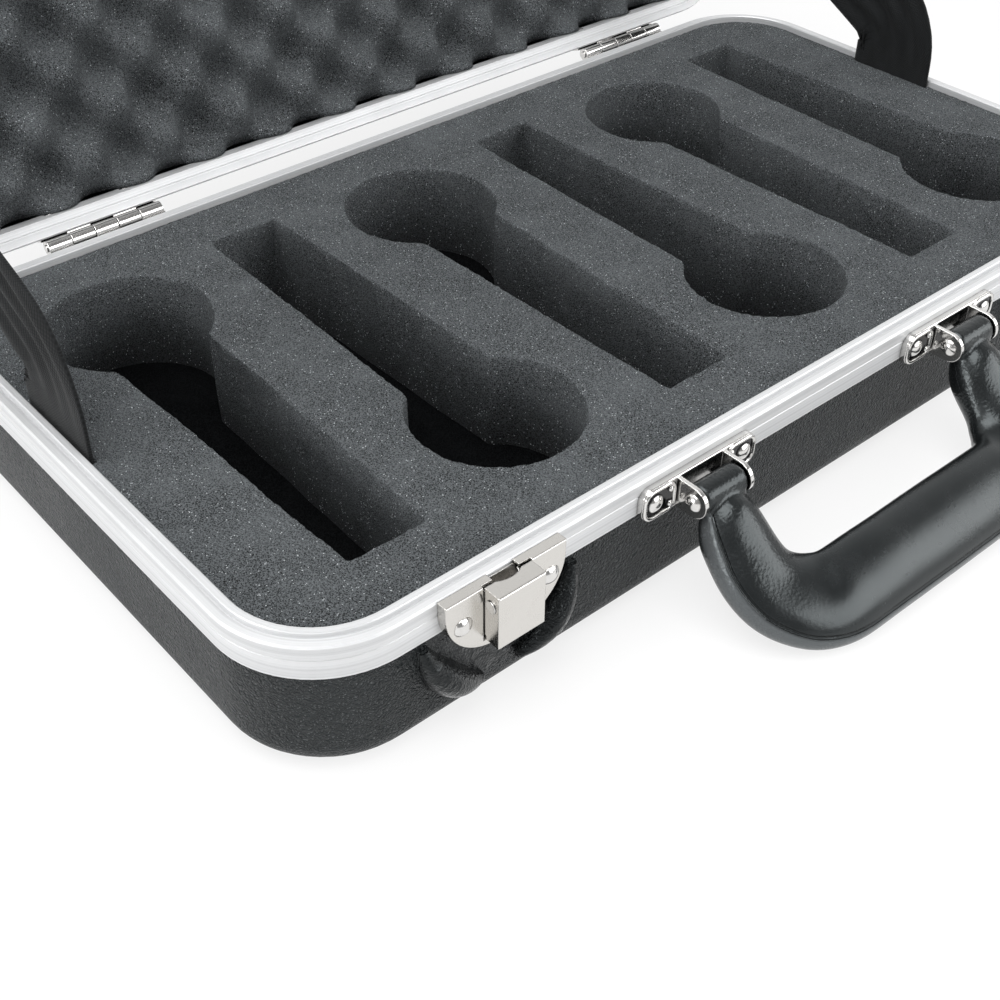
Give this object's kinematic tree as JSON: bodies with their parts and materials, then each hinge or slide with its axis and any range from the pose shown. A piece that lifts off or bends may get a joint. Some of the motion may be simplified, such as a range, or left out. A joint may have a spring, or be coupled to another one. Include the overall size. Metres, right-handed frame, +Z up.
{
  "type": "microphone case",
  "caption": "Moulded carrying case with an aluminium edge, foam cut-outs for hand-held microphones, lever latches, a swinging handle and a hinged lid.",
  "frame": {"origin": "centre of the lower shell's flat underside", "axes": "+X along the front edge, -Y towards the latches and the handle, +Z up from the table"},
  "size_m": [0.4126, 0.4017, 0.2699],
  "materials": {
    "shell": "matte",
    "edging": "satin",
    "foam": "matte",
    "plate": "satin",
    "bright": "polished",
    "grip": "satin",
    "cloth": "matte"
  },
  "bodies": {
    "base": {"base_shell": "shell", "base_edging": "edging", "slotted_foam": "foam", "floor_foam": "foam", "latch_plate_left": "plate", "latch_plate_right": "plate", "latch_seat_left": "bright", "latch_seat_right": "bright", "latch_rivets": "bright", "latch_pins": "bright", "latch_spring_left": "bright", "latch_spring_right": "bright", "handle_bracket_left": "bright", "handle_bracket_right": "bright", "handle_bracket_rivets": "bright", "handle_pins": "bright", "hinge_base_leaf_left": "bright", "hinge_base_leaf_right": "bright", "hinge_base_rivets": "bright", "hinge_pins": "bright", "base_stay_rivets": "bright", "base_stay_washers": "bright", "lid_stay_left": "cloth", "lid_stay_right": "cloth"},
    "lid": {"lid_shell": "shell", "lid_edging": "edging", "lid_foam": "foam", "hinge_lid_leaf_left": "bright", "hinge_lid_leaf_right": "bright", "hinge_lid_rivets": "bright", "latch_strike_left": "plate", "latch_strike_right": "plate", "strike_rivets": "bright", "lid_stay_rivets": "bright", "lid_stay_washers": "bright"},
    "left_latch": {"latch_lever_left": "plate", "latch_catch_left": "bright"},
    "right_latch": {"latch_lever_right": "plate", "latch_catch_right": "bright"},
    "handle": {"handle_grip": "grip"}
  },
  "joints": [
    {"name": "lid_hinge", "type": "hinge", "parent": "base", "child": "lid", "pos_m": [0, 0.1155, 0.04905], "axis": [1, 0, 0], "range_deg": [0, 110], "deforming": ["lid_stay_left", "lid_stay_right"]},
    {"name": "left_latch_hinge", "type": "hinge", "parent": "base", "child": "left_latch", "pos_m": [-0.138, -0.1188, 0.0439], "axis": [-1, 0, 0], "range_deg": [0, 32], "stiffness_Nm_per_rad": 0.03, "springref_deg": -17.19, "deforming": ["latch_spring_left"]},
    {"name": "right_latch_hinge", "type": "hinge", "parent": "base", "child": "right_latch", "pos_m": [0.138, -0.1188, 0.0439], "axis": [-1, 0, 0], "range_deg": [0, 32], "stiffness_Nm_per_rad": 0.03, "springref_deg": -17.19, "deforming": ["latch_spring_right"]},
    {"name": "handle_hinge", "type": "hinge", "parent": "base", "child": "handle", "pos_m": [0, -0.1215, 0.0406], "axis": [-1, 0, 0], "range_deg": [-25, 110]}
  ]
}
